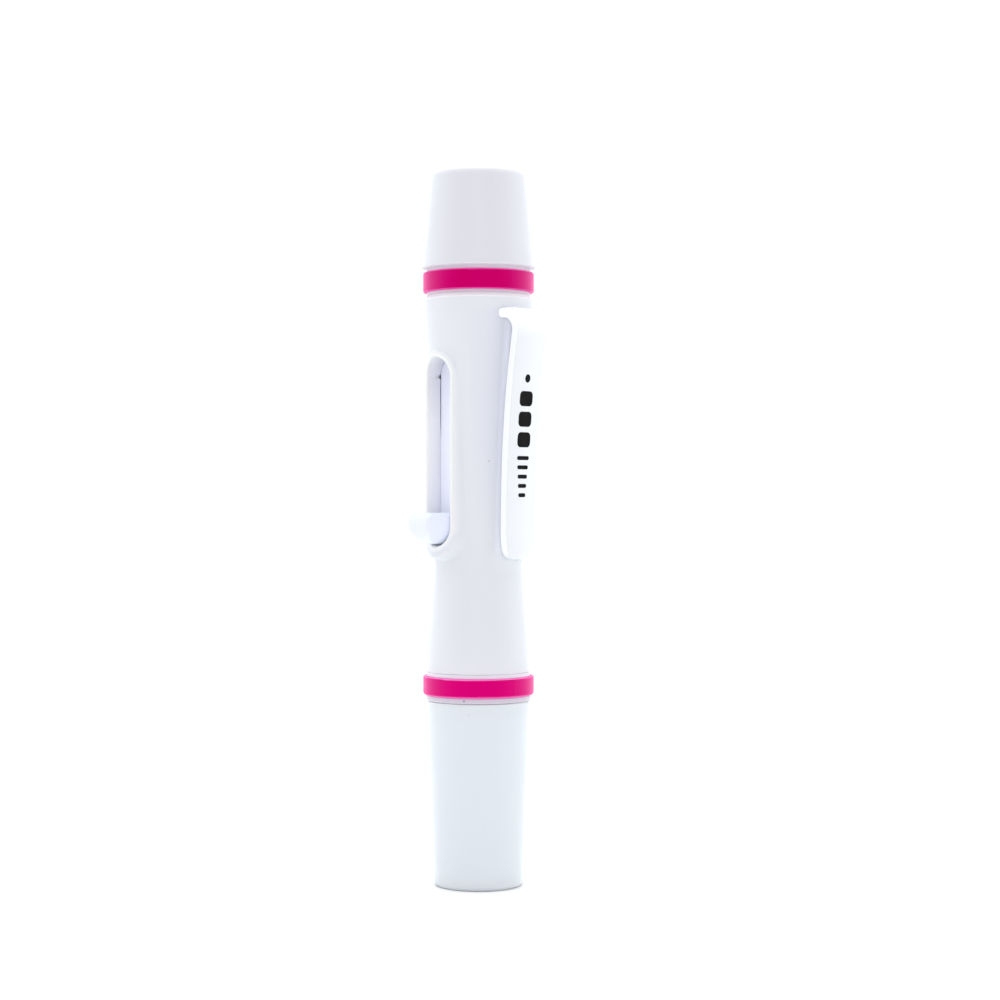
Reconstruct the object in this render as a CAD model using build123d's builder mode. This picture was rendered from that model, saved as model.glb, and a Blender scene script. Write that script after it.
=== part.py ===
from build123d import *
import os
from math import sin, cos, radians, sqrt

os.makedirs("parts", exist_ok=True)

# Lens cleaning pen. Millimetres. The origin is the centre of the cap's flat bottom,
# +Z runs up the pen to the brush mouth, and the thumb button faces -Y.

# ---------------------------------------------------------------- heights along the pen
length = 113.4
cap_top = 29.2
lip_z = 29.3
rear_band_z = (30.15, 33.16)
barrel_z = (33.77, 92.88)
front_band_z = (93.75, 96.93)
nose_skirt_z = 97.54

# ---------------------------------------------------------------- radii
base_r = 7.03
cap_mouth_r = 8.08
lip_r = 8.3
band_r = 8.77
band_seat_r = 7.9
band_inner_r = 7.94
groove_r = 8.15
waist_bore_r = 5.6
low_bore_r = 6.75
top_bore_r = 7.1
nose_skirt_r = 7.06
nose_bore_r = 6.2
mouth_r = 4.6
spigot_r = 7.0
cap_bore_r = 7.05

# ---------------------------------------------------------------- thumb slot
slot_half = 3.0
slot_z = (53.65, 83.3)
collar_half = 4.24
collar_z = (51.05, 85.15)
collar_draft = 13.0
collar_face_r = 8.55
key_half = 3.0
key_u = 5.27
detent_z = 80.4

# ---------------------------------------------------------------- brush slide
travel = 22.0
rod_r = 5.2
rail_half = 2.94
rail_u = 5.19
rod_z = (40.6, 84.5)
button_half = 2.92
button_z = (54.1, 58.95)
button_u = 11.85
ferrule_r = 3.9
ferrule_z = (74.0, 91.0)
hair_r = 3.46
hair_tip_z = 107.6

# ---------------------------------------------------------------- clip
clip_azimuth = 105.5
clip_half = 3.85
clip_t = 1.0
clip_seat_r = 8.74        # the bridge stands just clear of the barrel
clip_root_half = 4.5
clip_root_z = (89.2, 90.78)
clip_end_z = 51.65
cx, cy = sin(radians(clip_azimuth)), -cos(radians(clip_azimuth))


def clip_plane(shift=0.0):
    """Side plane of the clip: local x radially outward, local y up."""
    return Plane(origin=(cy * shift, -cx * shift, 0), x_dir=(cx, cy, 0), z_dir=(cy, -cx, 0))


# ================================================================ barrel
# The collar round the slot is a straight racetrack with drafted sides. Its face lies on a
# cylinder, so it stands proud over the waist and runs into the flared upper end.
with BuildPart() as collar:
    with BuildSketch(Plane.XZ.offset(key_u)):
        with Locations((0, (collar_z[0] + collar_z[1]) / 2)):
            SlotOverall(collar_z[1] - collar_z[0], 2 * collar_half, rotation=90)
    extrude(amount=4.4, taper=collar_draft)
    with Locations((0, 0, 68)):
        Cylinder(collar_face_r, 60, mode=Mode.INTERSECT)
    rim = collar.edges().filter_by(
        lambda e: abs(Vector(e.center().X, e.center().Y, 0).length - collar_face_r) < 0.75
        and e.center().Y < -6.9
    )
    fillet(rim, 0.5)

with BuildPart() as barrel:
    with BuildSketch(Plane.XZ):
        with BuildLine():
            outer = Spline(
                (8.17, 33.92), (8.17, 35.4), (8.06, 37.8), (7.86, 40.6), (7.58, 43.8),
                (7.30, 47.0), (7.07, 50.2), (6.93, 53.6), (6.90, 56.6), (7.00, 61.2),
                (7.29, 68.6), (7.68, 76.2), (8.06, 82.6), (8.37, 87.0), (8.57, 89.6),
                (8.69, 91.4), (8.74, 92.35),
                tangents=[(0.03, 1), (0.04, 1)],
            )
            RadiusArc(outer @ 1, (8.24, barrel_z[1]), -0.53)
            Polyline((8.24, barrel_z[1]), (top_bore_r + 0.15, barrel_z[1]), (top_bore_r, 92.73),
                     (top_bore_r, 86.2), (6.75, 85.6))
            bore = Spline((6.75, 85.6), (6.42, 80.0), (6.06, 73.0), (5.74, 64.0), (waist_bore_r, 57.5),
                          (waist_bore_r, 53.0), (5.72, 49.0), (6.1, 44.4), (6.4, 41.2),
                          tangents=[(-0.065, -1), (0.09, -1)])
            Polyline(bore @ 1, (low_bore_r, 39.2), (low_bore_r, 33.92), (low_bore_r + 0.15, barrel_z[0]),
                     (8.02, barrel_z[0]))
            RadiusArc((8.02, barrel_z[0]), outer @ 0, -0.15)
        make_face()
    revolve(axis=Axis.Z)
    add(collar.part)
    # keyway for the carriage's rail, along the whole bore
    with BuildSketch(Plane.XY.offset(39.2)):
        with Locations((0, -key_u / 2)):
            Rectangle(2 * key_half, key_u)
    extrude(amount=86.3 - 39.2, mode=Mode.SUBTRACT)
    # thumb slot, through the collar and the wall
    with BuildSketch(Plane.XZ.offset(key_u - 1.2)):
        with Locations((0, (slot_z[0] + slot_z[1]) / 2)):
            SlotOverall(slot_z[1] - slot_z[0], 2 * slot_half, rotation=90)
    extrude(amount=6, mode=Mode.SUBTRACT)
    slot_rim = barrel.edges().filter_by(
        lambda e: abs(Vector(e.center().X, e.center().Y, 0).length - collar_face_r) < 0.62
        and e.center().Y < -7.4
        and abs(e.center().X) < slot_half + 0.05
        and slot_z[0] - 0.1 < e.center().Z < slot_z[1] + 0.1
    )
    fillet(slot_rim, 0.28)
    # detent notches for the button, near the slot's upper end
    for side in (-1, 1):
        with BuildSketch(Plane.XZ.offset(key_u - 0.6)):
            with Locations((side * slot_half, detent_z)):
                Circle(0.42)
        extrude(amount=2.1, taper=9, mode=Mode.SUBTRACT)
    # pocket for the clip's tang, in the wall just below the top edge
    with BuildSketch(clip_plane()):
        with BuildLine():
            Polyline((7.55, clip_root_z[0] + 0.05), (9.5, clip_root_z[0] + 0.05), (9.5, clip_root_z[1] - 0.1),
                     (7.55, clip_root_z[1] - 0.1), close=True)
        make_face()
    extrude(amount=3.15, both=True, mode=Mode.SUBTRACT)
barrel.part.label = "barrel"

# ================================================================ pocket clip
# One leaf: a bridge at the root that stands on the barrel and flares a little where it meets
# it, a tang in the barrel's pocket, a rounded shoulder, and an arm that follows the barrel's
# waist and ends in a rounded tip.
with BuildPart() as clip_leaf:
    with BuildSketch(clip_plane()):
        with BuildLine():
            face = Spline((10.70, 87.9), (10.54, 86.3), (10.11, 83.4), (9.53, 78.6), (9.03, 72.4), (8.67, 66.4),
                          (8.47, 60.8), (8.41, 56.4), (8.27, 50.8), tangents=[(0.02, -1), (-0.03, -1)])
            Line(face @ 1, (7.13, 50.8))
            back = Spline((7.13, 50.8), (7.25, 55.6), (7.35, 60.2), (7.49, 66.0), (7.85, 72.4),
                          (8.41, 78.8), (9.06, 83.8), (9.44, 86.6), tangents=[(0.03, 1), (0.11, 1)])
            RadiusArc(back @ 1, (8.40, clip_root_z[0]), -2.15)
            Line((8.40, clip_root_z[0]), (7.6, clip_root_z[0]))
            Line((7.6, clip_root_z[0]), (7.6, clip_root_z[1]))
            Line((7.6, clip_root_z[1]), (8.95, clip_root_z[1]))
            Spline((8.95, clip_root_z[1]), (9.82, 90.38), (10.45, 89.46), face @ 0, tangents=[(1, 0), (-0.02, -1)])
        make_face()
    extrude(amount=clip_half, both=True)
    # outline of the arm seen from outside: parallel, then drawn in to a round end
    with BuildSketch(Plane(origin=(cx * 6, cy * 6, 0), x_dir=(-cy, cx, 0), z_dir=(cx, cy, 0))):
        with BuildLine():
            l1 = Line((clip_half, 92.0), (clip_half, 61.5))
            l2 = Spline(l1 @ 1, (3.84, 58.6), (3.78, 55.8), (3.59, 53.9), (3.20, 52.78), (2.55, 52.08),
                        (1.45, 51.72), (0, clip_end_z), (-1.45, 51.72), (-2.55, 52.08), (-3.20, 52.78),
                        (-3.59, 53.9), (-3.78, 55.8), (-3.84, 58.6), (-clip_half, 61.5),
                        tangents=[(0, -1), (0, 1)])
            l4 = Line(l2 @ 1, (-clip_half, 92.0))
            l5 = Line(l4 @ 1, (clip_half, 92.0))
        make_face()
    extrude(amount=8, mode=Mode.INTERSECT)
    # soft edges all round: the flanks' own edges, away from the root's straight corners
    flank_edges = clip_leaf.edges().filter_by(
        lambda e: abs(e.center().Y * cx - e.center().X * cy) > 2.0 and e.geom_type != GeomType.LINE
    )
    outer_edges = flank_edges.filter_by(
        lambda e: (e.center().Z < 80 and e.center().X * cx + e.center().Y * cy > 8.3) or (e.center().Z > 89.3 and e.center().X * cx + e.center().Y * cy > 9.6)
    )
    inner_edges = flank_edges.filter_by(
        lambda e: (e.center().Z < 80 and e.center().X * cx + e.center().Y * cy < 8.3) or abs(e.center().Z - 88.13) < 0.2
    )
    fillet(outer_edges, 0.34)
    fillet(inner_edges, 0.16)
    with Locations((0, 0, 88)):
        Cylinder(clip_seat_r, 14, mode=Mode.SUBTRACT)

# the bridge flares smoothly towards the barrel and has rounded ends on it
with BuildPart() as clip_foot:
    with BuildSketch(Plane(origin=(0, 0, clip_root_z[0]), x_dir=(cx, cy, 0), z_dir=(0, 0, 1))):
        with BuildLine():
            flank = Spline((7.0, 4.60), (7.5, clip_root_half), (8.2, 4.16), (8.9, 3.92), (9.7, 3.77),
                           tangents=[(1, -0.2), (1, -0.05)])
            Line(flank @ 1, (9.7, -3.77))
            Spline((9.7, -3.77), (8.9, -3.92), (8.2, -4.16), (7.5, -clip_root_half), (7.0, -4.60),
                   tangents=[(-1, -0.05), (-1, -0.2)])
            Line((7.0, -4.60), (7.0, 4.60))
        make_face()
    extrude(amount=clip_root_z[1] - clip_root_z[0])
    with BuildSketch(Plane(origin=(cx * 5.8, cy * 5.8, 0), x_dir=(-cy, cx, 0), z_dir=(cx, cy, 0))):
        with Locations((0, (clip_root_z[0] + clip_root_z[1]) / 2)):
            RectangleRounded(2 * clip_root_half + 0.04, clip_root_z[1] - clip_root_z[0], 0.6)
    extrude(amount=6, mode=Mode.INTERSECT)
    with Locations((0, 0, 90)):
        Cylinder(clip_seat_r, 10, mode=Mode.SUBTRACT)

with BuildPart() as pocket_clip:
    add(clip_leaf.part)
    add(clip_foot.part)
    # tang, with clearance in the barrel's pocket
    with BuildSketch(clip_plane()):
        with BuildLine():
            Polyline((7.72, clip_root_z[0] + 0.27), (9.2, clip_root_z[0] + 0.27), (9.2, clip_root_z[1] - 0.3),
                     (7.72, clip_root_z[1] - 0.3), close=True)
        make_face()
    extrude(amount=2.95, both=True)
    with Locations((0, 0, 89)):
        Cylinder(7.7, 10, mode=Mode.SUBTRACT)
pocket_clip.part.label = "pocket_clip"

# ================================================================ nose cone
with BuildPart() as nose_cone:
    with BuildSketch(Plane.XZ):
        with BuildLine():
            Polyline((nose_bore_r, 86.4), (nose_skirt_r - 0.25, 86.4), (nose_skirt_r, 86.9),
                     (nose_skirt_r, barrel_z[1]), (groove_r, barrel_z[1]),
                     (groove_r, front_band_z[0] - 0.03), (band_seat_r, front_band_z[0] - 0.03),
                     (band_seat_r, front_band_z[1] + 0.03), (groove_r, front_band_z[1] + 0.03),
                     (groove_r, nose_skirt_z), (8.72, nose_skirt_z))
            RadiusArc((8.72, nose_skirt_z), (8.95, 97.8), -0.26)
            shell = Spline((8.95, 97.8), (8.78, 99.8), (8.58, 102.0), (8.37, 104.3), (8.17, 106.4),
                           (7.96, 108.7), (7.76, 110.9), (7.66, 111.9),
                           tangents=[(-0.10, 1), (-0.11, 1)])
            Spline(shell @ 1, (7.49, 112.56), (7.02, 113.12), (6.25, length), tangents=[(-0.12, 1), (-1, 0)])
            Line((6.25, length), (mouth_r + 0.7, length))
            RadiusArc((mouth_r + 0.7, length), (mouth_r, length - 0.7), -0.7)
            Polyline((mouth_r, length - 0.7), (mouth_r, 110.4), (nose_bore_r, 108.8), (nose_bore_r, 86.4))
        make_face()
    revolve(axis=Axis.Z)
nose_cone.part.label = "nose_cone"


# ================================================================ coloured bands
# Split rings in the grooves. Each has one fine butt joint.
def band_profile(z0, z1, low, high):
    with BuildLine() as line:
        Polyline((band_inner_r, z0), (band_r - low, z0))
        RadiusArc((band_r - low, z0), (band_r, z0 + low), -low)
        Line((band_r, z0 + low), (band_r, z1 - high))
        RadiusArc((band_r, z1 - high), (band_r - high, z1), -high)
        Polyline((band_r - high, z1), (band_inner_r, z1), (band_inner_r, z0))
    return line.line


def seam_plane(azimuth):
    a = radians(azimuth)
    return Plane(origin=(sin(a) * 8.35, -cos(a) * 8.35, 0), x_dir=(cos(a), sin(a), 0), z_dir=(sin(a), -cos(a), 0))


with BuildPart() as rear_band:
    with BuildSketch(Plane.XZ):
        with BuildLine():
            add(band_profile(rear_band_z[0], rear_band_z[1], 0.45, 0.22))
        make_face()
    revolve(axis=Axis.Z)
    with BuildSketch(seam_plane(53.5 + 39.0)):
        with Locations((0, 31.7)):
            Rectangle(0.045, 5)
    extrude(amount=1.5, both=True, mode=Mode.SUBTRACT)
rear_band.part.label = "rear_band"

with BuildPart() as front_band:
    with BuildSketch(Plane.XZ):
        with BuildLine():
            add(band_profile(front_band_z[0], front_band_z[1], 0.22, 0.36))
        make_face()
    revolve(axis=Axis.Z)
    with BuildSketch(seam_plane(53.5 + 180.0)):
        with Locations((0, 95.3)):
            Rectangle(0.045, 5)
    extrude(amount=1.5, both=True, mode=Mode.SUBTRACT)
front_band.part.label = "front_band"

# ================================================================ brush carriage
with BuildPart() as brush_carriage:
    with BuildSketch(Plane.XY.offset(rod_z[0])):
        Circle(rod_r)
        with Locations((0, -rail_u / 2)):
            Rectangle(2 * rail_half, rail_u)
    extrude(amount=rod_z[1] - rod_z[0])
    chamfer(brush_carriage.faces().sort_by(Axis.Z)[-1].outer_wire().edges(), 0.25)
    # ferrule socket from above, lightening bore from below
    with Locations((0, 0, rod_z[1])):
        Hole(ferrule_r + 0.02, depth=rod_z[1] - ferrule_z[0])
    with BuildSketch(Plane.XY.offset(rod_z[0])):
        Circle(3.9)
    extrude(amount=71.5 - rod_z[0], mode=Mode.SUBTRACT)
    # window for the button's peg
    with BuildSketch(Plane.XZ.offset(2.5)):
        with Locations((0, 56.7)):
            Rectangle(3.06, 2.86)
    extrude(amount=3.2, mode=Mode.SUBTRACT)
brush_carriage.part.label = "brush_carriage"

# ================================================================ thumb button
# Flat top, lower end rounded to follow the slot, nose rounded under the thumb.
with BuildPart() as button_side:
    with BuildSketch(Plane.YZ):
        with BuildLine():
            Polyline((-button_u + 1.25, button_z[1]), (-rail_u - 0.02, button_z[1]), (-rail_u - 0.02, button_z[0] - 0.2),
                     (-8.7, button_z[0] - 0.2))
            RadiusArc((-8.7, button_z[0] - 0.2), (-button_u, 57.4), 3.35)
            RadiusArc((-button_u, 57.4), (-button_u + 1.25, button_z[1]), 1.45)
        make_face()
    extrude(amount=4, both=True)

with BuildPart() as thumb_button:
    with BuildSketch(Plane.XZ.offset(rail_u + 0.02)):
        with Locations((0, (button_z[0] + 64.0) / 2)):
            SlotOverall(64.0 - button_z[0], 2 * button_half, rotation=90)
    extrude(amount=8)
    add(button_side.part, mode=Mode.INTERSECT)
    soft = thumb_button.edges().filter_by(
        lambda e: e.center().Y < -6.2 and abs(e.center().X) > button_half * 0.55
    )
    fillet(soft, 0.62)
    # peg and its barbs, snapped into the carriage's window
    with BuildSketch(Plane.XZ.offset(3.0)):
        with Locations((0, 56.7)):
            Rectangle(3.0, 2.8)
    extrude(amount=2.6)
    with BuildSketch(Plane.XZ.offset(3.0)):
        with Locations((0, 56.7)):
            Rectangle(3.0, 3.5)
    extrude(amount=0.42)
    # detent pips on both cheeks
    for side in (-1, 1):
        with BuildSketch(Plane.XZ.offset(5.6)):
            with Locations((side * (button_half - 0.36), detent_z - travel)):
                Circle(0.4)
        extrude(amount=1.2)
thumb_button.part.label = "thumb_button"

# ================================================================ brush
with BuildPart() as brush_ferrule:
    with BuildSketch(Plane.XZ):
        with BuildLine():
            Polyline((0, ferrule_z[0]), (ferrule_r - 0.3, ferrule_z[0]), (ferrule_r, ferrule_z[0] + 0.3),
                     (ferrule_r, ferrule_z[1] - 0.2), (ferrule_r - 0.18, ferrule_z[1]), (3.5, ferrule_z[1]),
                     (3.5, 78.0), (0, 78.0), close=True)
        make_face()
    revolve(axis=Axis.Z)
brush_ferrule.part.label = "brush_ferrule"

with BuildPart() as tuft_glue:
    with Locations((0, 0, 78.02)):
        Cylinder(3.47, 4.5, align=(Align.CENTER, Align.CENTER, Align.MIN))
tuft_glue.part.label = "tuft_glue"

with BuildPart() as brush_bristles:
    with BuildSketch(Plane.XZ):
        with BuildLine():
            Polyline((0, 82.56), (hair_r, 82.56), (hair_r, 91.0))
            Spline((hair_r, 91.0), (3.78, 94.5), (4.08, 98.6), (4.12, 101.8), (3.72, 104.8), (2.6, 106.8),
                   (0, hair_tip_z), tangents=[(0.02, 1), (-1, 0)])
            Line((0, hair_tip_z), (0, 82.56))
        make_face()
    revolve(axis=Axis.Z)
brush_bristles.part.label = "brush_bristles"

# ================================================================ tip holder
# Plug into the barrel, collar that carries the lower band, lip on the cap, spigot with a
# ring groove, and the neck and peg for the tip.
with BuildPart() as tip_holder:
    with BuildSketch(Plane.XZ):
        with BuildLine():
            Polyline((5.5, 38.6), (low_bore_r - 0.25, 38.6), (low_bore_r - 0.03, 38.2),
                     (low_bore_r - 0.03, barrel_z[0]), (groove_r, barrel_z[0]),
                     (groove_r, rear_band_z[1] + 0.03), (band_seat_r, rear_band_z[1] + 0.03),
                     (band_seat_r, rear_band_z[0] - 0.03), (8.22, rear_band_z[0] - 0.03))
            RadiusArc((8.22, rear_band_z[0] - 0.03), (lip_r, 30.02), 0.1)
            Line((lip_r, 30.02), (lip_r, 29.5))
            RadiusArc((lip_r, 29.5), (8.1, lip_z), 0.22)
            Polyline((8.1, lip_z), (spigot_r, lip_z), (spigot_r, 25.7), (6.2, 25.7), (6.2, 24.3),
                     (spigot_r, 24.3), (spigot_r, 20.9), (6.7, 20.4), (3.4, 20.4), (2.2, 19.2),
                     (2.2, 14.9), (1.4, 14.9), (1.4, 10.4), (0, 10.4), (0, 22.2), (5.0, 22.2),
                     (5.5, 22.7), (5.5, 38.6))
        make_face()
    revolve(axis=Axis.Z)
tip_holder.part.label = "tip_holder"

# The tip's face is a shallow dish and the pad under it a matching dome: both are spheres
# centred on the axis.
dish_r = 22.75


def dish_z(r, crown):
    return crown - dish_r + sqrt(dish_r ** 2 - r ** 2)


def dish(r, crown):
    return ThreePointArc((0, crown), (r / 2, dish_z(r / 2, crown)), (r, dish_z(r, crown)))


with BuildPart() as tip_backing:
    with BuildSketch(Plane.XZ):
        with BuildLine():
            Polyline((1.43, 14.87), (2.3, 14.87), (2.3, 12.4), (3.3, 10.9), (3.3, 9.4), (0, 9.4),
                     (0, 10.37), (1.43, 10.37), close=True)
        make_face()
    revolve(axis=Axis.Z)
tip_backing.part.label = "tip_backing"

with BuildPart() as tip_cushion:
    with BuildSketch(Plane.XZ):
        with BuildLine():
            Polyline((0, 9.38), (3.3, 9.38), (3.36, dish_z(3.36, 8.44)))
            dish(3.36, 8.44)
            Line((0, 8.44), (0, 9.38))
        make_face()
    revolve(axis=Axis.Z)
tip_cushion.part.label = "tip_cushion"

with BuildPart() as tip_chamois:
    with BuildSketch(Plane.XZ):
        with BuildLine():
            Line((0, 7.62), (0, 8.42))
            dish(3.38, 8.42)
            Polyline((3.38, dish_z(3.38, 8.42)), (3.42, 9.0), (3.62, 9.0), (3.62, 7.62))
            RadiusArc((3.62, 7.62), (3.3, dish_z(3.3, 7.62)), 0.31)
            dish(3.3, 7.62)
        make_face()
    revolve(axis=Axis.Z)
tip_chamois.part.label = "tip_chamois"

# ================================================================ cap
with BuildPart() as cap_shell:
    with BuildSketch(Plane.XZ):
        with BuildLine():
            Line((0, 0), (6.3, 0))
            RadiusArc((6.3, 0), (7.05, 0.92), -0.84)
            wall = Spline((7.05, 0.92), (7.11, 2.8), (7.28, 7.4), (7.45, 11.6), (7.64, 16.0),
                          (7.81, 20.4), (7.94, 24.6), (8.06, 28.7), tangents=[(0.03, 1), (0.03, 1)])
            RadiusArc(wall @ 1, (7.9, cap_top), -0.4)
            Polyline((7.9, cap_top), (cap_bore_r + 0.3, cap_top), (cap_bore_r, cap_top - 0.4),
                     (cap_bore_r, 20.3), (6.5, 19.6), (6.5, 9.6), (5.92, 9.2), (5.92, 1.6), (0, 1.6), (0, 0))
        make_face()
    revolve(axis=Axis.Z)
cap_shell.part.label = "cap_shell"

with BuildPart() as cap_grip_ring:
    with BuildSketch(Plane.XZ):
        with Locations(((6.25 + 7.02) / 2, 25.0)):
            RectangleRounded(7.02 - 6.25, 1.3, 0.3)
    revolve(axis=Axis.Z)
cap_grip_ring.part.label = "cap_grip_ring"

with BuildPart() as reservoir_cup:
    with BuildSketch(Plane.XZ):
        with BuildLine():
            Polyline((0, 1.62), (5.6, 1.62), (5.88, 1.9), (5.88, 8.8), (5.68, 9.0), (5.0, 9.0),
                     (5.0, 2.5), (0, 2.5), close=True)
        make_face()
    revolve(axis=Axis.Z)
reservoir_cup.part.label = "reservoir_cup"

with BuildPart() as reservoir_pad:
    with BuildSketch(Plane.XZ):
        with BuildLine():
            Line((0, 2.52), (4.96, 2.52))
            Line((4.96, 2.52), (4.96, 6.4))
            RadiusArc((4.96, 6.4), (4.5, dish_z(4.5, 7.3)), -0.46)
            dish(4.5, 7.3)
            Line((0, 7.3), (0, 2.52))
        make_face()
    revolve(axis=Axis.Z)
reservoir_pad.part.label = "reservoir_pad"

# ---------------------------------------------------------------- one STEP for each piece
export_step(barrel.part, "parts/barrel.step")
export_step(nose_cone.part, "parts/nose_cone.step")
export_step(front_band.part, "parts/front_band.step")
export_step(rear_band.part, "parts/rear_band.step")
export_step(brush_carriage.part, "parts/brush_carriage.step")
export_step(thumb_button.part, "parts/thumb_button.step")
export_step(brush_ferrule.part, "parts/brush_ferrule.step")
export_step(tuft_glue.part, "parts/tuft_glue.step")
export_step(brush_bristles.part, "parts/brush_bristles.step")
export_step(tip_holder.part, "parts/tip_holder.step")
export_step(tip_backing.part, "parts/tip_backing.step")
export_step(tip_cushion.part, "parts/tip_cushion.step")
export_step(tip_chamois.part, "parts/tip_chamois.step")
export_step(cap_shell.part, "parts/cap_shell.step")
export_step(cap_grip_ring.part, "parts/cap_grip_ring.step")
export_step(reservoir_cup.part, "parts/reservoir_cup.step")
export_step(reservoir_pad.part, "parts/reservoir_pad.step")
export_step(pocket_clip.part, "parts/pocket_clip.step")
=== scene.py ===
import random
from math import sin, cos, tan, pi, radians, sqrt, atan2, hypot

import bpy
import bmesh
from mathutils import Vector, Matrix, noise
from mathutils.bvhtree import BVHTree


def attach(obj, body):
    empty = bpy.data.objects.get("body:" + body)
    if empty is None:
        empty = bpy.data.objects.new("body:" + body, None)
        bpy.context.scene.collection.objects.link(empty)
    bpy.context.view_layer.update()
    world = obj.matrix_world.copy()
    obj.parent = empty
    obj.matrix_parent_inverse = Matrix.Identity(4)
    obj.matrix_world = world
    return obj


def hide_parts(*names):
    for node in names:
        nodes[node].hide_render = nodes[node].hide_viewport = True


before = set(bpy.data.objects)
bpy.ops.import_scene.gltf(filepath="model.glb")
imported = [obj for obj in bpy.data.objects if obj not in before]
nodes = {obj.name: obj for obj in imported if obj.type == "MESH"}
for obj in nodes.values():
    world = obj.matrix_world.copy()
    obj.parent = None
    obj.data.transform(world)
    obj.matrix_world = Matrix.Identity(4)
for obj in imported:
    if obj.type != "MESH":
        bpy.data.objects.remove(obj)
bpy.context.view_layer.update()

MM = 0.001
rng = random.Random(7)


# ------------------------------------------------------------------ camera
AZ = 53.5                       # the view's azimuth round the pen, from the thumb button's side
DIST, HEIGHT = 0.3504, 0.0622   # from the pen's axis, and above the surface it stands on
CAM_DIR = Vector((sin(radians(AZ)), -cos(radians(AZ)), 0))
RIGHT = Vector((cos(radians(AZ)), sin(radians(AZ)), 0))
FOCAL_PX = 2210.0

cam_data = bpy.data.cameras.new("camera")
cam_data.sensor_width = 36.0
cam_data.lens = 36.0 * FOCAL_PX / 1000.0
cam_data.shift_x = 0.0215
cam_data.shift_y = -0.008
cam_data.clip_start, cam_data.clip_end = 0.01, 20
camera = bpy.data.objects.new("camera", cam_data)
camera.location = CAM_DIR * DIST + Vector((0, 0, HEIGHT))
camera.rotation_mode = "QUATERNION"
camera.rotation_quaternion = (-CAM_DIR).to_track_quat("-Z", "Y")
bpy.context.scene.collection.objects.link(camera)
bpy.context.scene.camera = camera


def sight(px, py):
    """Start and direction of the line of sight through a point of the 1000 x 1000 frame."""
    u = (px - 500.0) / 1000.0 + cam_data.shift_x
    v = (500.0 - py) / 1000.0 + cam_data.shift_y
    d = -CAM_DIR + RIGHT * (u * 1000.0 / FOCAL_PX) + Vector((0, 0, 1)) * (v * 1000.0 / FOCAL_PX)
    return camera.location.copy(), d.normalized()


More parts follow.
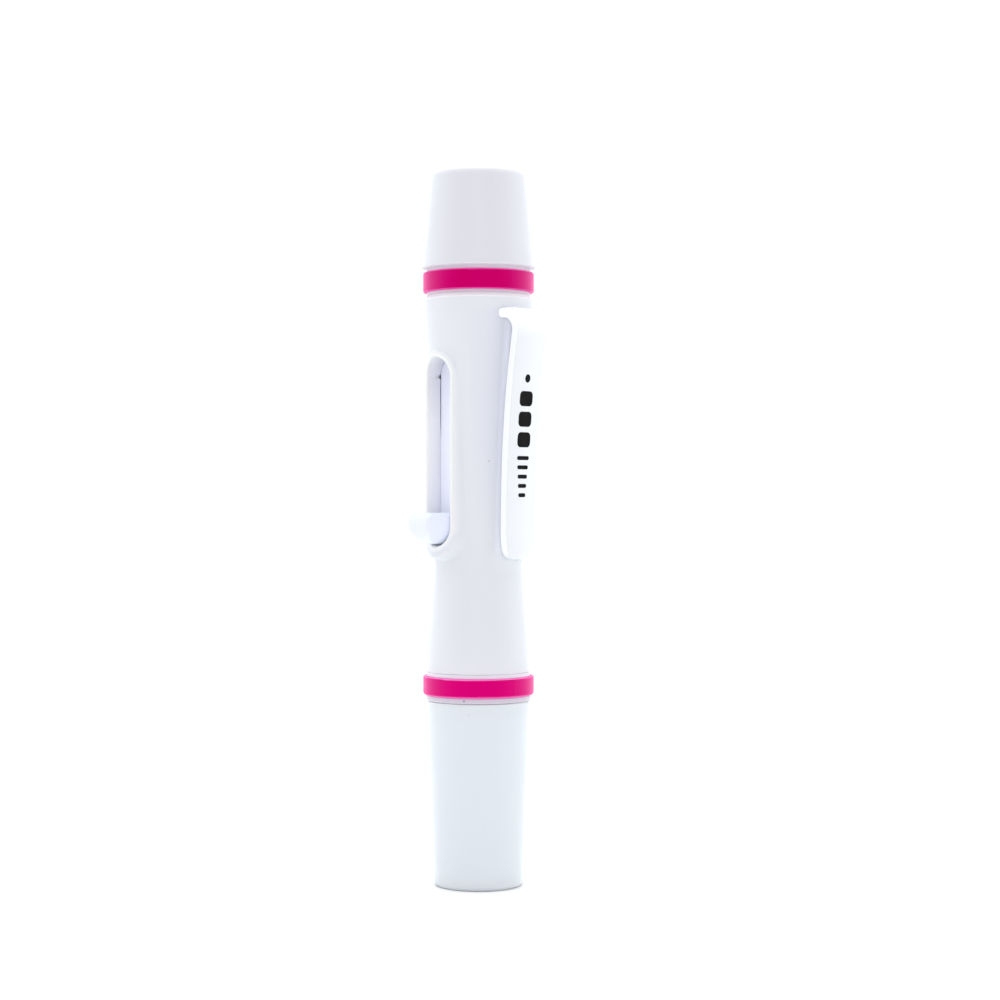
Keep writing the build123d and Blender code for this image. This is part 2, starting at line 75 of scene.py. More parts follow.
# ------------------------------------------------------------------ node helpers
class Mat:
    """A small helper that builds a Principled material out of procedural nodes."""

    def __init__(self, name):
        self.m = bpy.data.materials.new(name)
        self.m.use_nodes = True
        self.t = self.m.node_tree
        self.bsdf = self.t.nodes["Principled BSDF"]
        self.coord = self.t.nodes.new("ShaderNodeTexCoord").outputs["Object"]

    def node(self, kind, **inputs):
        n = self.t.nodes.new(kind)
        for key, value in inputs.items():
            if key in ("operation", "data_type", "blend_type", "feature", "distance", "noise_dimensions",
                       "musgrave_type", "wave_type", "bands_direction", "interpolation_type", "noise_type"):
                setattr(n, key, value)
        return n

    def link(self, a, b):
        self.t.links.new(a, b)

    def noise(self, scale, detail=3.0, rough=0.5, stretch=None, distortion=0.0):
        n = self.t.nodes.new("ShaderNodeTexNoise")
        n.inputs["Scale"].default_value = scale
        n.inputs["Detail"].default_value = detail
        n.inputs["Roughness"].default_value = rough
        n.inputs["Distortion"].default_value = distortion
        if stretch:
            mp = self.t.nodes.new("ShaderNodeMapping")
            mp.inputs["Scale"].default_value = stretch
            self.link(self.coord, mp.inputs["Vector"])
            self.link(mp.outputs["Vector"], n.inputs["Vector"])
        else:
            self.link(self.coord, n.inputs["Vector"])
        return n.outputs["Fac"]

    def voronoi(self, scale, feature="F1", stretch=None):
        n = self.t.nodes.new("ShaderNodeTexVoronoi")
        n.feature = feature
        n.inputs["Scale"].default_value = scale
        if stretch:
            mp = self.t.nodes.new("ShaderNodeMapping")
            mp.inputs["Scale"].default_value = stretch
            self.link(self.coord, mp.inputs["Vector"])
            self.link(mp.outputs["Vector"], n.inputs["Vector"])
        else:
            self.link(self.coord, n.inputs["Vector"])
        return n.outputs["Distance"]

    def map(self, value, lo, hi, to_lo, to_hi):
        n = self.t.nodes.new("ShaderNodeMapRange")
        n.clamp = True
        n.inputs["From Min"].default_value = lo
        n.inputs["From Max"].default_value = hi
        n.inputs["To Min"].default_value = to_lo
        n.inputs["To Max"].default_value = to_hi
        self.link(value, n.inputs["Value"])
        return n.outputs["Result"]

    def math(self, op, a, b=None, c=None):
        n = self.t.nodes.new("ShaderNodeMath")
        n.operation = op
        for i, v in enumerate((a, b, c)):
            if v is None:
                continue
            if isinstance(v, (int, float)):
                n.inputs[i].default_value = v
            else:
                self.link(v, n.inputs[i])
        return n.outputs[0]

    def mix(self, fac, a, b):
        n = self.t.nodes.new("ShaderNodeMix")
        n.data_type = "RGBA"
        if isinstance(fac, (int, float)):
            n.inputs[0].default_value = fac
        else:
            self.link(fac, n.inputs[0])
        for i, v in ((6, a), (7, b)):
            if isinstance(v, tuple):
                n.inputs[i].default_value = (*v, 1)
            else:
                self.link(v, n.inputs[i])
        return n.outputs[2]

    def separate(self):
        n = self.t.nodes.new("ShaderNodeSeparateXYZ")
        self.link(self.coord, n.inputs[0])
        return n.outputs

    def near(self, point, radius, soft=0.25):
        """1 inside a small sphere round a fixed point of the object, 0 outside."""
        n = self.t.nodes.new("ShaderNodeVectorMath")
        n.operation = "DISTANCE"
        self.link(self.coord, n.inputs[0])
        n.inputs[1].default_value = point
        return self.map(n.outputs["Value"], radius * (1 - soft), radius * (1 + soft), 1.0, 0.0)

    def within(self, planes):
        """1 inside a zone of the object, 0 outside: (direction, inner, outer) per side, in metres."""
        total = None
        for direction, inner, outer in planes:
            n = self.t.nodes.new("ShaderNodeVectorMath")
            n.operation = "DOT_PRODUCT"
            self.link(self.coord, n.inputs[0])
            n.inputs[1].default_value = direction
            f = self.map(n.outputs["Value"], inner, outer, 1.0, 0.0)
            total = f if total is None else self.math("MULTIPLY", total, f)
        return total

    def tinted(self, colour, by):
        n = self.t.nodes.new("ShaderNodeMix")
        n.data_type = "RGBA"
        n.blend_type = "MULTIPLY"
        n.inputs[0].default_value = 1.0
        self.link(colour, n.inputs[6])
        n.inputs[7].default_value = (*by, 1)
        return n.outputs[2]

    def slot_zone(self, inner, outer):
        """1 within a distance of the thumb slot's centre line, on the button's side, 0 beyond."""
        part = self.t.nodes.new("ShaderNodeSeparateXYZ")
        self.link(self.coord, part.inputs[0])
        x, y, z = part.outputs
        up = self.math("MAXIMUM", self.math("SUBTRACT", z, 0.0803), 0.0)
        down = self.math("MAXIMUM", self.math("SUBTRACT", 0.05665, z), 0.0)
        d = self.math("ADD", self.math("MULTIPLY", x, x),
                      self.math("ADD", self.math("MULTIPLY", up, up), self.math("MULTIPLY", down, down)))
        return self.math("MULTIPLY", self.map(self.math("SQRT", d), inner, outer, 1.0, 0.0),
                         self.map(y, -0.0040, -0.0036, 1.0, 0.0))

    def turned(self, direction, lo, hi):
        """0..1 by how far the surface is turned to a fixed direction of the object."""
        n = self.t.nodes.new("ShaderNodeVectorMath")
        n.operation = "DOT_PRODUCT"
        self.link(self.t.nodes.new("ShaderNodeTexCoord").outputs["Normal"], n.inputs[0])
        n.inputs[1].default_value = direction
        return self.map(n.outputs["Value"], lo, hi, 0.0, 1.0)

    def bump(self, height, strength, distance, normal=None):
        n = self.t.nodes.new("ShaderNodeBump")
        n.inputs["Strength"].default_value = strength
        n.inputs["Distance"].default_value = distance
        self.link(height, n.inputs["Height"])
        if normal is not None:
            self.link(normal, n.inputs["Normal"])
        return n.outputs["Normal"]

    def set(self, **values):
        for key, v in values.items():
            socket = self.bsdf.inputs[key.replace("_", " ")]
            if isinstance(v, tuple):
                socket.default_value = (*v, 1) if len(v) == 3 and socket.type == "RGBA" else v
            elif isinstance(v, (int, float)):
                socket.default_value = v
            else:
                self.link(v, socket)


def plastic(name, color, tint, rough=(0.23, 0.28), marks=(), sss=0.0, peel=0.000004, coat=0.0, spec=0.5,
            glint=(1.0, 1.0, 1.0), film=None, sheen=0.9, zones=(), tints=()):
    """Moulded plastic: faint flow clouds, an uneven gloss and a very fine orange peel. Zones and tints lay painted
    light and shade into the base colour.
    """
    m = Mat(name)
    clouds = m.noise(45, 1, 0.4, stretch=(1, 1, 0.35))
    fine = m.noise(1500, 1, 0.4)
    base = m.mix(m.map(clouds, 0.3, 0.7, 0.0, 1.0), color, tint)
    # Painted light and shade: each zone's tone and each tint stands in for light or shade that falls on that part.
    for where, tone in zones:
        base = m.mix(where(m), base, tone)
    for where, tint_by in tints:
        base = m.mix(where(m), base, m.tinted(base, tint_by))
    for point, radius, dark in marks:
        base = m.mix(m.near(point, radius), base, dark)
    m.set(Base_Color=base, Roughness=m.map(m.noise(38, 1, 0.4), 0.25, 0.75, rough[0], rough[1]))
    m.set(Normal=m.bump(fine, 0.2, peel))
    m.set(IOR=1.49, Specular_IOR_Level=spec, Specular_Tint=glint)
    if film:
        m.set(Sheen_Weight=sheen, Sheen_Roughness=0.5, Sheen_Tint=film)
    if coat:
        m.set(Coat_Weight=coat, Coat_Roughness=0.08)
    if sss:
        m.set(Subsurface_Weight=sss, Subsurface_Scale=0.004, Subsurface_Radius=(0.85, 0.9, 1.1))
        m.bsdf.subsurface_method = "RANDOM_WALK"
    return m.m


def assign(obj, *mats):
    obj.data.materials.clear()
    for m in mats:
        obj.data.materials.append(m)


def mesh_object(name, verts, faces, mats=(), smooth=True):
    me = bpy.data.meshes.new(name)
    me.from_pydata([tuple(v) for v in verts], [], [tuple(f) for f in faces])
    me.validate()
    ob = bpy.data.objects.new(name, me)
    bpy.context.scene.collection.objects.link(ob)
    for m in mats:
        me.materials.append(m)
    if smooth:
        me.polygons.foreach_set("use_smooth", [True] * len(me.polygons))
    me.update()
    return ob


def tree_of(*names):
    """A ray-casting tree over some of the CAD nodes."""
    verts, faces = [], []
    for n in names:
        me = nodes[n].data
        off = len(verts)
        verts += [v.co.copy() for v in me.vertices]
        faces += [[off + i for i in p.vertices] for p in me.polygons]
    return BVHTree.FromPolygons(verts, faces)


# ------------------------------------------------------------------ fixed marks on the white body
body_tree = tree_of("barrel", "cap_shell", "tip_holder", "nose_cone", "pocket_clip")


def on_body(px, py):
    start, d = sight(px, py)
    hit = body_tree.ray_cast(start, d)[0]
    return tuple(hit) if hit else (0, 0, -1)


dust = (0.44, 0.44, 0.49)
fleck = (0.12, 0.10, 0.13)
barrel_marks = [(on_body(489, 461), 0.00013, dust), (on_body(520.5, 561), 0.00012, dust)]
cap_marks = [(on_body(469, 715), 0.00009, dust)]
lip_marks = [(on_body(464, 701.3), 0.00013, fleck)]

# Some zones are painted paler or darker in place of light and shade: painted light on the thumb slot's walls and
# collar, under and below the clip and on the clip's sides and top; painted shade beside the clip and deep in and at
# the top end of the slot.
CLIP_AZ = 105.5
clip_out = Vector((sin(radians(CLIP_AZ)), -cos(radians(CLIP_AZ)), 0))
SIDE = (-clip_out.y, clip_out.x, 0.0)
AWAY = (clip_out.y, -clip_out.x, 0.0)
INWARD = (-clip_out.x, -clip_out.y, 0.0)


# Painted light: the thumb slot's walls are painted paler than the barrel; the same mask also bounds the slot's
# painted shade.
def slot_walls(m):
    return m.slot_zone(0.00303, 0.00312)


# Painted shade: a darker, bluer tone deeper in the thumb slot.
def painted_shade_slot_depth(m):
    return m.math("MULTIPLY", slot_walls(m), m.within([((0, -1, 0), 0.0052, 0.0082)]))


# Painted light: the collar round the thumb slot is painted paler than the barrel.
def painted_light_slot_collar(m):
    return m.slot_zone(0.0035, 0.0040)


# Painted light: the strip of the barrel under the clip is painted paler, to lift the clip's contact shadow.
def painted_light_under_clip(m):
    return m.within([(SIDE, 0.0026, 0.0036), (AWAY, 0.0026, 0.0036), (INWARD, -0.004, -0.0035),
                     ((0, 0, 1), 0.0900, 0.0915), ((0, 0, -1), -0.0532, -0.0522)])


# Painted shade: a darker lavender band on the barrel on both sides of the clip, for the clip's shadow.
def painted_shade_beside_clip(m):
    return m.within([(SIDE, 0.0030, 0.0085), (AWAY, 0.0030, 0.0085), (INWARD, -0.004, -0.0035),
                     ((0, 0, 1), 0.0900, 0.0915), ((0, 0, -1), -0.0700, -0.0560)])


# Painted shade: the slot's walls are darkened towards the slot's top end.
def painted_shade_slot_top(m):
    return m.math("MULTIPLY", slot_walls(m), m.within([((0, 0, -1), -0.0800, -0.0735)]))


# Painted shade: the brush carriage is darkened a little towards the slot's top end.
def painted_shade_slide_top(m):
    return m.within([((0, 0, -1), -0.0790, -0.0730)])


# Painted light: the barrel just below the clip's end is painted lighter.
def painted_light_below_clip(m):
    return m.within([(SIDE, 0.0022, 0.0044), (AWAY, 0.0022, 0.0044), (INWARD, -0.004, -0.0035),
                     ((0, 0, 1), 0.0522, 0.0530), ((0, 0, -1), -0.0512, -0.0490)])


# Painted light: the clip's side and inner faces are painted paler.
def painted_light_flanks(m):
    return m.math("MAXIMUM", m.math("MAXIMUM", m.turned(SIDE, 0.5, 0.8), m.turned(AWAY, 0.5, 0.8)),
                  m.turned(INWARD, 0.3, 0.6))


# Painted shade: the clip darkens across its width towards one side.
def clip_painted_shade(m):
    return m.within([(SIDE, -0.0030, 0.0022)])


# Painted highlight: the magenta bands' up-turned rounded edge is painted paler pink.
def painted_highlight_top_edge(m):
    return m.turned((0, 0, 1), 0.25, 0.75)


# Painted highlight: the magenta bands' down-turned rounded edge is painted paler pink.
def painted_highlight_low_edge(m):
    return m.turned((0, 0, -1), 0.25, 0.75)


# Painted shade and painted reflection: the groove under the upper magenta band is darkened and tinged pink from the
# band.
def groove_low_painted_shade_and_reflection(m):
    return m.within([((0, 0, 1), 0.09385, 0.0939), ((0, 0, -1), -0.0929, -0.0928)])


# Painted light: the lowest strip of that groove, by the barrel's top edge, is painted paler.
def groove_foot_painted_light(m):
    return m.within([((0, 0, 1), 0.0930, 0.0932), ((0, 0, -1), -0.0929, -0.0928)])


# Painted shade: the groove above the upper magenta band is darkened, with a faint painted pink reflection of the
# band.
def groove_high_painted_shade(m):
    return m.within([((0, 0, 1), 0.09752, 0.09758), ((0, 0, -1), -0.0968, -0.0967)])


# Painted light: the tip holder's collar is painted paler where it shows between the lower band and the barrel.
def collar_high_painted_light(m):
    return m.within([((0, 0, -1), -0.0322, -0.0318)])


# Painted shade: the collar's lip below the lower band keeps a darker lilac tone tinged with the band's pink.
def collar_low_painted_shade(m):
    return m.within([((0, 0, 1), 0.0298, 0.0302)])


# Painted highlight: the up-turned rounding of the barrel's top edge is painted paler.
def painted_highlight_barrel_rim(m):
    return m.math("MULTIPLY", m.within([((0, 0, -1), -0.0922, -0.0920)]), m.turned((0, 0, 1), 0.2, 0.6))


# Painted highlight: the up-turned rounding of the cap's top edge is painted paler.
def painted_highlight_cap_rim(m):
    return m.math("MULTIPLY", m.within([((0, 0, -1), -0.0287, -0.0285)]), m.turned((0, 0, 1), 0.15, 0.5))


# Painted shade: the cap darkens towards its foot, where it stands on the floor.
def painted_shade_cap_foot(m):
    return m.within([((0, 0, 1), 0.0004, 0.0024)])


# Painted highlight: the up-turned rounding at the nose's top rim is painted paler.
def painted_highlight_nose_rim(m):
    return m.math("MULTIPLY", m.within([((0, 0, -1), -0.1131, -0.1117)]), m.turned((0, 0, 1), -0.05, 0.45))


# Painted highlight: the clip's top, where it rounds over, is painted paler.
def painted_highlight_shoulder(m):
    return m.within([((0, 0, -1), -0.0897, -0.0862)])


# The white parts are one white plastic in lit and shaded copies: the clip, brush carriage and thumb button are
# painted paler and bluer as painted light, and the tip holder's collar darker and lilac as painted shade.
white_barrel = plastic("white_barrel", (0.680, 0.693, 0.744), (0.670, 0.685, 0.738), marks=barrel_marks,
                       film=(0.87, 0.96, 1.0),
                       zones=((painted_shade_beside_clip, (0.625, 0.643, 0.730)), (painted_light_under_clip, (0.87, 0.895, 0.985)),
                              (painted_light_slot_collar, (0.795, 0.797, 0.805)), (slot_walls, (0.85, 0.845, 0.83)),
                              (painted_shade_slot_depth, (0.70, 0.695, 0.78)), (painted_highlight_barrel_rim, (0.80, 0.83, 0.86))),
                       tints=((painted_light_below_clip, (1.09, 1.09, 1.08)), (painted_shade_slot_top, (0.905, 0.905, 0.925))))
white_cap = plastic("white_cap", (0.655, 0.698, 0.750), (0.645, 0.689, 0.742), marks=cap_marks,
                    film=(0.87, 0.96, 1.0),
                    zones=((painted_highlight_cap_rim, (0.87, 0.865, 0.90)),), tints=((painted_shade_cap_foot, (0.95, 0.94, 0.935)),))
white_nose = plastic("white_nose", (0.648, 0.650, 0.705), (0.639, 0.642, 0.699), film=(0.87, 0.96, 1.0),
                     zones=((painted_highlight_nose_rim, (0.90, 0.905, 0.92)),
                            (groove_high_painted_shade, (0.70, 0.68, 0.75)),
                            (groove_low_painted_shade_and_reflection, (0.61, 0.54, 0.63)),
                            (groove_foot_painted_light, (0.84, 0.87, 0.90))))
white_clip = plastic("white_clip", (0.80, 0.825, 0.885), (0.79, 0.817, 0.88), rough=(0.18, 0.23),
                     film=(0.87, 0.96, 1.0),
                     zones=((clip_painted_shade, (0.725, 0.738, 0.770)), (painted_light_flanks, (0.86, 0.875, 0.92)),
                            (painted_highlight_shoulder, (0.90, 0.91, 0.935))))
white_slide = plastic("white_slide", (0.865, 0.885, 0.995), (0.855, 0.877, 0.99), rough=(0.28, 0.34),
                      film=(0.87, 0.96, 1.0), tints=((painted_shade_slide_top, (0.965, 0.955, 0.99)),))
white_button = plastic("white_button", (0.73, 0.77, 0.95), (0.72, 0.762, 0.945), rough=(0.28, 0.34),
                       film=(0.87, 0.96, 1.0))
white_collar = plastic("white_collar", (0.56, 0.535, 0.61), (0.55, 0.525, 0.60), rough=(0.3, 0.38),
                       marks=lip_marks, film=(0.87, 0.96, 1.0),
                       zones=((collar_high_painted_light, (0.72, 0.74, 0.79)),
                              (collar_low_painted_shade, (0.57, 0.53, 0.62))))
# Both bands are one magenta; the rear band's copy is painted lighter as painted light, and both carry painted
# highlights on their rounded edges.
magenta = plastic("magenta_front", (0.510, 0.0, 0.105), (0.494, 0.0, 0.100), rough=(0.18, 0.23), spec=0.42,
                  glint=(1.0, 0.02, 1.0), film=(1.0, 0.02, 0.42),
                  zones=((painted_highlight_top_edge, (0.84, 0.12, 0.44)), (painted_highlight_low_edge, (0.82, 0.07, 0.34))))
magenta_2 = plastic("magenta_rear", (0.603, 0.0, 0.130), (0.590, 0.0, 0.125), rough=(0.18, 0.23), spec=0.42,
                    glint=(1.0, 0.02, 1.0), film=(1.0, 0.02, 0.42),
                    zones=((painted_highlight_top_edge, (0.97, 0.26, 0.64)), (painted_highlight_low_edge, (0.84, 0.18, 0.50))))

for name, m in {
    "barrel": white_barrel, "nose_cone": white_nose, "cap_shell": white_cap, "tip_holder": white_collar,
    "brush_carriage": white_slide, "thumb_button": white_button, "pocket_clip": white_clip,
    "front_band": magenta, "rear_band": magenta_2,
}.items():
    assign(nodes[name], m)


# ------------------------------------------------------------------ dark inner materials
def satin_black(name):
    m = Mat(name)
    base = m.mix(m.map(m.noise(160, 4, 0.6), 0.3, 0.7, 0, 1), (0.018, 0.018, 0.021), (0.034, 0.034, 0.039))
    m.set(Base_Color=base, Roughness=m.map(m.noise(700, 3, 0.6), 0.3, 0.7, 0.36, 0.52))
    m.set(Normal=m.bump(m.voronoi(5200), 0.25, 0.00003))
    return m.m


def soft_rubber(name):
    m = Mat(name)
    base = m.mix(m.map(m.noise(240, 5, 0.65), 0.3, 0.7, 0, 1), (0.016, 0.016, 0.018), (0.042, 0.041, 0.042))
    m.set(Base_Color=base, Roughness=m.map(m.noise(900, 3, 0.6), 0.3, 0.7, 0.62, 0.82))
    m.set(Normal=m.bump(m.noise(3500, 4, 0.7), 0.3, 0.00004))
    return m.m


def amber_glue(name):
    m = Mat(name)
    base = m.mix(m.map(m.noise(500, 4, 0.6, distortion=0.6), 0.3, 0.7, 0, 1), (0.55, 0.38, 0.16), (0.36, 0.22, 0.08))
    m.set(Base_Color=base, Roughness=m.map(m.noise(300, 3, 0.5), 0.3, 0.7, 0.10, 0.28))
    m.set(Normal=m.bump(m.noise(700, 3, 0.5), 0.3, 0.00008))
    return m.m


def open_foam(name):
    m = Mat(name)
    cells = m.voronoi(4200)
    base = m.mix(m.map(cells, 0.05, 0.5, 0, 1), (0.018, 0.018, 0.02), (0.13, 0.13, 0.14))
    m.set(Base_Color=base, Roughness=m.map(m.noise(1200, 3, 0.6), 0.3, 0.7, 0.85, 1.0))
    m.set(Normal=m.bump(cells, 0.8, 0.00012))
    m.set(Sheen_Weight=0.15)
    return m.m


def chamois_leather(name):
    m = Mat(name)
    nap = m.noise(5200, 5, 0.7)
    wear = m.noise(420, 4, 0.6, distortion=0.8)
    base = m.mix(m.map(wear, 0.35, 0.65, 0, 1), (0.030, 0.030, 0.033), (0.085, 0.083, 0.088))
    base = m.mix(m.map(nap, 0.45, 0.7, 0, 0.5), base, (0.15, 0.145, 0.15))
    m.set(Base_Color=base, Roughness=m.map(nap, 0.3, 0.7, 0.78, 0.98))
    m.set(Normal=m.bump(nap, 0.7, 0.00008))
    m.set(Sheen_Weight=0.35, Sheen_Roughness=0.5)
    return m.m


def carbon_felt(name):
    m = Mat(name)
    fibre = m.noise(3600, 5, 0.75, distortion=1.5)
    base = m.mix(m.map(fibre, 0.35, 0.68, 0, 1), (0.008, 0.008, 0.010), (0.050, 0.050, 0.055))
    m.set(Base_Color=base, Roughness=m.map(m.noise(800, 3, 0.6), 0.3, 0.7, 0.80, 1.0))
    m.set(Normal=m.bump(fibre, 0.9, 0.00015))
    m.set(Sheen_Weight=0.12)
    return m.m


def hair_material(name):
    m = Mat(name)
    z = m.separate()[2]
    strand = m.noise(2600, 2, 0.5, stretch=(1, 1, 0.02))
    root = m.mix(m.map(strand, 0.35, 0.65, 0, 1), (0.020, 0.014, 0.010), (0.075, 0.052, 0.036))
    tip = m.mix(m.map(strand, 0.35, 0.65, 0, 1), (0.11, 0.082, 0.060), (0.21, 0.165, 0.125))
    base = m.mix(m.map(z, 0.097, 0.1075, 0, 1), root, tip)
    m.set(Base_Color=base, Roughness=m.map(m.noise(500, 3, 0.6), 0.3, 0.7, 0.34, 0.52))
    m.set(Specular_IOR_Level=0.6, Sheen_Weight=0.2)
    return m.m


assign(nodes["brush_ferrule"], satin_black("ferrule_black"))
assign(nodes["tuft_glue"], amber_glue("tuft_glue_amber"))
assign(nodes["tip_backing"], soft_rubber("tip_rubber"))
assign(nodes["cap_grip_ring"], soft_rubber("ring_rubber"))
assign(nodes["reservoir_cup"], satin_black("cup_black"))


# ------------------------------------------------------------------ brush hair
def tuft_radius(z):
    """Half-width of the tuft, in mm, at a height in mm."""
    s = min(max((z - 91.0) / 9.5, 0.0), 1.0)
    s = s * s * (3 - 2 * s)
    return 3.38 + 0.66 * s


def build_hair(count=2700, sides=3, steps=8):
    verts, faces = [], []
    golden = pi * (3 - sqrt(5))
    for i in range(count):
        f = sqrt((i + 0.5) / count)
        a = i * golden + rng.uniform(-0.12, 0.12)
        f = min(max(f + rng.uniform(-0.012, 0.012), 0), 1)
        # the tuft's end is domed: the outer hairs are shorter
        top = 107.5 - 3.3 * f ** 2.4 - abs(rng.gauss(0, 0.30))
        z0 = 82.6
        lean = rng.uniform(-0.05, 0.05)
        wave = rng.uniform(0, 2 * pi)
        amp = rng.uniform(0.0, 0.07)
        thick = rng.uniform(0.034, 0.050)
        path = []
        for k in range(steps + 1):
            t = k / steps
            z = z0 + (top - z0) * (0.30 * (t > 0) + 0.70 * t if k else 0)
            r = tuft_radius(z) * f * 0.985
            if z > 101:
                r *= 1 - 0.055 * ((z - 101) / 6.5) ** 2
            wob = amp * max(0, (z - 91.5) / 16)
            ang = a + lean * max(0, (z - 91) / 16)
            x = r * cos(ang) + wob * cos(wave)
            y = r * sin(ang) + wob * sin(wave)
            w = thick * (1 - 0.72 * max(0, t - 0.45) / 0.55)
            path.append((x, y, z, w))
        off = len(verts)
        turn = rng.uniform(0, 2 * pi)
        for x, y, z, w in path:
            for s in range(sides):
                b = turn + 2 * pi * s / sides
                verts.append(((x + w * cos(b)) * MM, (y + w * sin(b)) * MM, z * MM))
        for k in range(steps):
            for s in range(sides):
                p = off + k * sides + s
                q = off + k * sides + (s + 1) % sides
                faces.append((p, q, q + sides, p + sides))
        faces.append(tuple(off + s for s in reversed(range(sides))))
        faces.append(tuple(off + steps * sides + s for s in range(sides)))
    return mesh_object("brush_hair", verts, faces, [hair_material("natural_hair")])


hair = build_hair()
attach(hair, "slider")
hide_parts("brush_bristles")


# ------------------------------------------------------------------ soft pieces turned as fine meshes
def lathe(name, profile, mats, segs=120, lift=None, body=None, node=None, close=True):
    """Turns a closed (r, z) profile in mm about the pen's axis. lift(x, y, z, nx) moves a point by a little."""
    rings, verts, faces = [], [], []
    for r, z in profile:
        if r < 1e-6:
            rings.append([len(verts)])
            verts.append(Vector((0, 0, z)))
        else:
            rings.append(list(range(len(verts), len(verts) + segs)))
            for s in range(segs):
                a = 2 * pi * s / segs
                verts.append(Vector((r * cos(a), r * sin(a), z)))
    count = len(rings)
    for i in range(count if close else count - 1):
        a, b = rings[i], rings[(i + 1) % count]
        if len(a) == 1 and len(b) == 1:
            continue
        for s in range(segs):
            t = (s + 1) % segs
            if len(a) == 1:
                faces.append((a[0], b[s], b[t]))
            elif len(b) == 1:
                faces.append((a[s], b[0], a[t]))
            else:
                faces.append((a[s], b[s], b[t], a[t]))
    if lift:
        verts = [v + lift(v) for v in verts]
    ob = mesh_object(name, [v * MM for v in verts], faces, mats)
    bm = bmesh.new()
    bm.from_mesh(ob.data)
    bmesh.ops.recalc_face_normals(bm, faces=bm.faces)
    bm.to_mesh(ob.data)
    bm.free()
    if body:
        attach(ob, body)
    if node:
        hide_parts(node)
    return ob


def arc(cx, cz, r, a0, a1, n):
    return [(cx + r * cos(radians(a0 + (a1 - a0) * i / n)), cz + r * sin(radians(a0 + (a1 - a0) * i / n))) for i in range(n + 1)]


DISH = 22.75


def dish(r, crown):
    return crown - DISH + sqrt(DISH * DISH - r * r)


def spread(r0, r1, n, crown):
    return [(r0 + (r1 - r0) * i / n, dish(r0 + (r1 - r0) * i / n, crown)) for i in range(n + 1)]


# leather face of the tip: it wraps the foam and is drawn in a little under the rubber head
chamois_profile = (
    spread(0.0, 3.25, 22, 7.63)
    + arc(3.28, dish(3.28, 7.63) + 0.32, 0.32, -84, 0, 8)
    + [(3.61, 8.1), (3.62, 8.5), (3.6, 8.9)]
    + [(3.52, 9.0), (3.43, 9.0), (3.42, 8.8)]
    + list(reversed(spread(0.0, 3.37, 14, 8.41)))
)


def nap(v):
    n = noise.noise_vector(v * 2.1) * 0.018 + noise.noise_vector(v * 7.0) * 0.008
    return Vector((n.x, n.y, n.z))


chamois = lathe("tip_leather", chamois_profile, [chamois_leather("chamois")], segs=180, lift=nap,
                body="pen_body", node="tip_chamois")

cushion_profile = (
    spread(0.0, 3.3, 12, 8.46)
    + [(3.34, 8.5), (3.42, 8.8), (3.40, 9.15), (3.31, 9.35), (3.2, 9.38)]
    + [(2.4, 9.385), (1.2, 9.385), (0.0, 9.385)]
)
cushion = lathe("tip_foam", cushion_profile, [open_foam("foam")], segs=120,
                lift=lambda v: Vector((v.x, v.y, 0)) * (0.004 * noise.noise(v * 4.0) - 0.006),
                body="pen_body", node="tip_cushion")

pad_profile = (
    spread(0.0, 4.45, 24, 7.29)
    + arc(4.48, dish(4.48, 7.29) - 0.45, 0.45, 84, 0, 7)
    + [(4.94, 5.6), (4.95, 4.6), (4.95, 3.4), (4.93, 2.7), (4.8, 2.53)]
    + [(3.2, 2.53), (1.6, 2.53), (0.0, 2.53)]
)


def felt(v):
    if v.z < 2.6:
        return Vector((0, 0, 0))
    h = noise.noise(v * 3.1) * 0.03 + noise.noise(v * 9.0) * 0.015
    n = Vector((0, 0, 1)) if v.z > 6.7 else Vector((v.x, v.y, 0)).normalized()
    return n * (h - 0.03)


pad = lathe("compound_felt", pad_profile, [carbon_felt("carbon_pad")], segs=150, lift=felt,
            body="cap", node="reservoir_pad")


# ------------------------------------------------------------------ print on the clip
# A plain generic mark: a dot, three heavy rounded blocks and a ladder of thinner bars, in black ink.
clip_side = Vector((-clip_out.y, clip_out.x, 0))
clip_tree = tree_of("pocket_clip")


def ink_material():
    m = Mat("black_ink")
    base = m.mix(m.map(m.noise(900, 4, 0.6), 0.3, 0.7, 0, 1), (0.002, 0.002, 0.002), (0.006, 0.006, 0.007))
    m.set(Base_Color=base, Roughness=m.map(m.noise(1500, 3, 0.6), 0.3, 0.7, 0.42, 0.56), Specular_IOR_Level=0.06)
    m.set(Normal=m.bump(m.noise(4000, 2, 0.5), 0.2, 0.000006))
    return m.m


def rounded(cs, cz, w, h, r, n=7):
    pts = []
    for qx, qz, a0 in ((1, 1, 0), (-1, 1, 90), (-1, -1, 180), (1, -1, 270)):
        for i in range(n + 1):
            a = radians(a0 + 90 * i / n)
            pts.append((cs + qx * (w / 2 - r) + r * cos(a), cz + qz * (h / 2 - r) + r * sin(a)))
    return pts


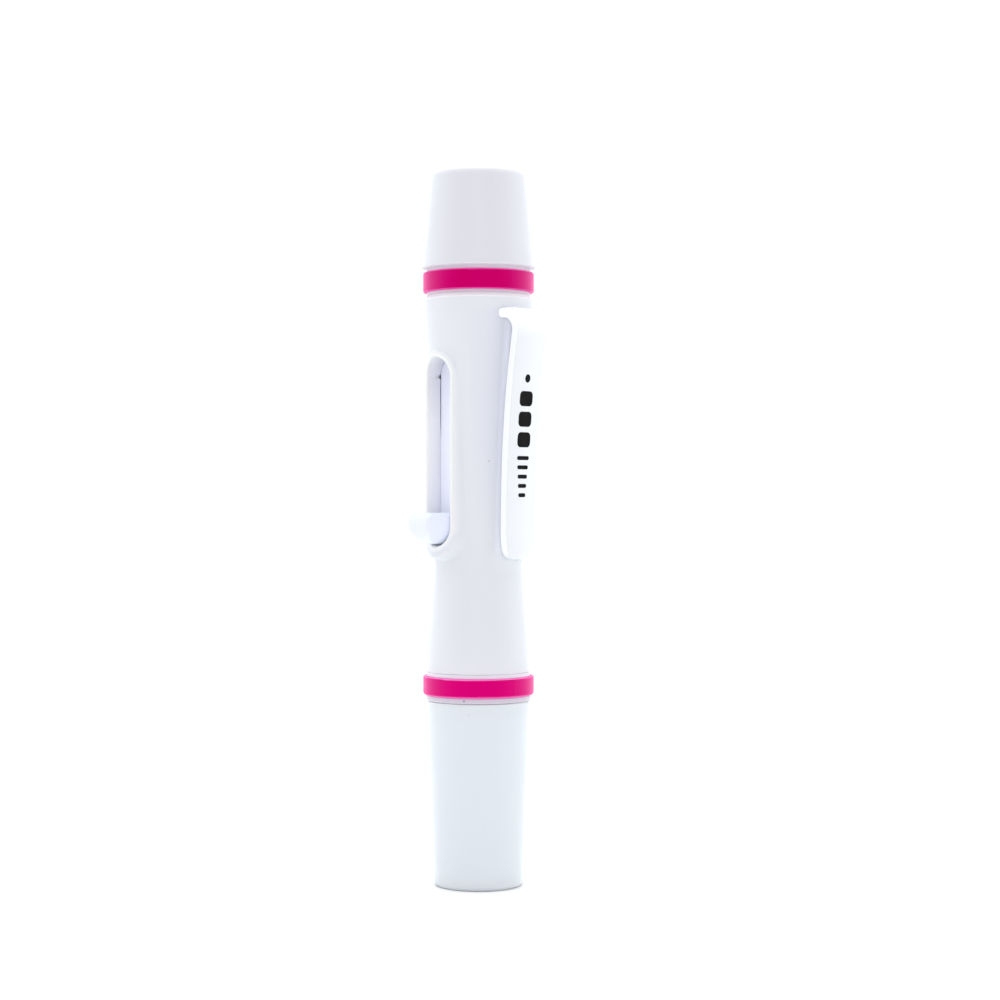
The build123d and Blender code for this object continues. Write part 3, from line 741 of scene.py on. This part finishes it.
def print_on_clip(shapes, thick=0.014):
    """Each outline becomes a thin film on the clip's outer face."""
    ink = ink_material()
    bm = bmesh.new()
    for pts in shapes:
        cs = sum(p[0] for p in pts) / len(pts)
        cz = sum(p[1] for p in pts) / len(pts)
        rings = []
        levels = (1.0, 0.8, 0.55, 0.3)
        for lv in levels:
            ring = []
            for s, z in pts:
                ring.append(bm.verts.new(Vector((cs + (s - cs) * lv, cz + (z - cz) * lv, 0))))
            rings.append(ring)
        mid = bm.verts.new(Vector((cs, cz, 0)))
        n = len(pts)
        for a, b in zip(rings, rings[1:]):
            for i in range(n):
                bm.faces.new((a[i], a[(i + 1) % n], b[(i + 1) % n], b[i]))
        for i in range(n):
            bm.faces.new((rings[-1][i], rings[-1][(i + 1) % n], mid))
    bm.verts.ensure_lookup_table()
    for v in bm.verts:
        s, z = v.co.x, v.co.y
        start = clip_out * 0.03 + clip_side * (s * MM) + Vector((0, 0, z * MM))
        hit, normal, _, _ = clip_tree.ray_cast(start, -clip_out)
        v.co = hit + normal * (0.004 * MM)
    geom = bmesh.ops.extrude_face_region(bm, geom=list(bm.faces))
    for v in geom["geom"]:
        if isinstance(v, bmesh.types.BMVert):
            v.co += clip_out * (thick * MM)
    bmesh.ops.recalc_face_normals(bm, faces=bm.faces)
    me = bpy.data.meshes.new("clip_print")
    bm.to_mesh(me)
    bm.free()
    ob = bpy.data.objects.new("clip_print", me)
    bpy.context.scene.collection.objects.link(ob)
    me.materials.append(ink)
    return ob


shapes = [rounded(0.1, 79.9, 1.3, 1.3, 0.648)]
for cz in (76.75, 73.55, 70.35):
    shapes.append(rounded(0.1, cz, 3.3, 2.35, 0.75))
for i, w in enumerate((3.0, 2.7, 2.4, 2.1, 1.8)):
    shapes.append(rounded(0.1, 67.5 - i * 1.45, w, 0.62, 0.30))
ink_print = print_on_clip(shapes)
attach(ink_print, "clip")


# ------------------------------------------------------------------ stage: one pale floor
def floor_material():
    m = Mat("studio_floor")
    base = m.mix(m.map(m.noise(3, 3, 0.5), 0.3, 0.7, 0, 1), (0.86, 0.86, 0.86), (0.88, 0.88, 0.88))
    m.set(Base_Color=base, Roughness=0.7, Specular_IOR_Level=0.2)
    m.set(Emission_Color=(1.0, 1.0, 1.0), Emission_Strength=0.03)
    return m.m


floor = mesh_object("floor", [(-4, -4, 0), (4, -4, 0), (4, 4, 0), (-4, 4, 0)], [(0, 1, 2, 3)], [floor_material()], smooth=False)


# ------------------------------------------------------------------ light: a white tent and a soft box
# The tent is bright at the sides and behind and dim towards the camera. A wide soft box hangs
# above it in front, and the tent's roof glows a little.
world = bpy.data.worlds.new("tent")
bpy.context.scene.world = world
world.use_nodes = True
wt = world.node_tree
wt.nodes.clear()
sky = wt.nodes.new("ShaderNodeTexCoord").outputs["Generated"]


def glow(direction, lo, hi, at_lo, at_hi):
    """Brightness by the angle from a fixed direction in the room."""
    d = wt.nodes.new("ShaderNodeVectorMath")
    d.operation = "DOT_PRODUCT"
    wt.links.new(sky, d.inputs[0])
    d.inputs[1].default_value = direction
    r = wt.nodes.new("ShaderNodeMapRange")
    r.interpolation_type = "SMOOTHSTEP"
    for key, v in (("From Min", lo), ("From Max", hi), ("To Min", at_lo), ("To Max", at_hi)):
        r.inputs[key].default_value = v
    wt.links.new(d.outputs["Value"], r.inputs["Value"])
    return r.outputs["Result"]


def added(a, b):
    n = wt.nodes.new("ShaderNodeMath")
    n.operation = "ADD"
    wt.links.new(a, n.inputs[0])
    wt.links.new(b, n.inputs[1])
    return n.outputs[0]


# A wide, flat fill stands behind the camera. It has no reflection of its own.
fill_data = bpy.data.lights.new("fill", "SUN")
fill_data.energy = 1.22
fill_data.angle = radians(35)
fill = bpy.data.objects.new("fill", fill_data)
fill.rotation_mode = "QUATERNION"
fill.rotation_quaternion = (-(CAM_DIR + Vector((0, 0, 0.12)))).normalized().to_track_quat("-Z", "Y")
fill.location = CAM_DIR * 0.6 + Vector((0, 0, 0.2))
fill.visible_glossy = False
bpy.context.scene.collection.objects.link(fill)

BOX_DIR = (CAM_DIR * cos(radians(48)) + Vector((0, 0, 1)) * sin(radians(48))).normalized()
sides = glow(CAM_DIR, -0.15, 0.85, 1.22, 0.0)
box = glow(BOX_DIR, 0.80, 0.95, 0.0, 0.6)
roof = glow((0, 0, 1), 0.60, 0.95, 0.0, 1.0)
tent = wt.nodes.new("ShaderNodeBackground")
tent.inputs["Color"].default_value = (1.0, 1.0, 1.0, 1)
wt.links.new(added(added(sides, box), roof), tent.inputs["Strength"])
plain = wt.nodes.new("ShaderNodeBackground")
plain.inputs["Color"].default_value = (1, 1, 1, 1)
plain.inputs["Strength"].default_value = 1.02
path = wt.nodes.new("ShaderNodeLightPath")
pick = wt.nodes.new("ShaderNodeMixShader")
out = wt.nodes.new("ShaderNodeOutputWorld")
wt.links.new(path.outputs["Is Camera Ray"], pick.inputs["Fac"])
wt.links.new(tent.outputs[0], pick.inputs[1])
wt.links.new(plain.outputs[0], pick.inputs[2])
wt.links.new(pick.outputs[0], out.inputs["Surface"])

bpy.context.scene.view_settings.view_transform = "Standard"
bpy.context.scene.view_settings.look = "None"
bpy.context.scene.view_settings.exposure = 0.0
bpy.context.scene.view_settings.gamma = 1.0
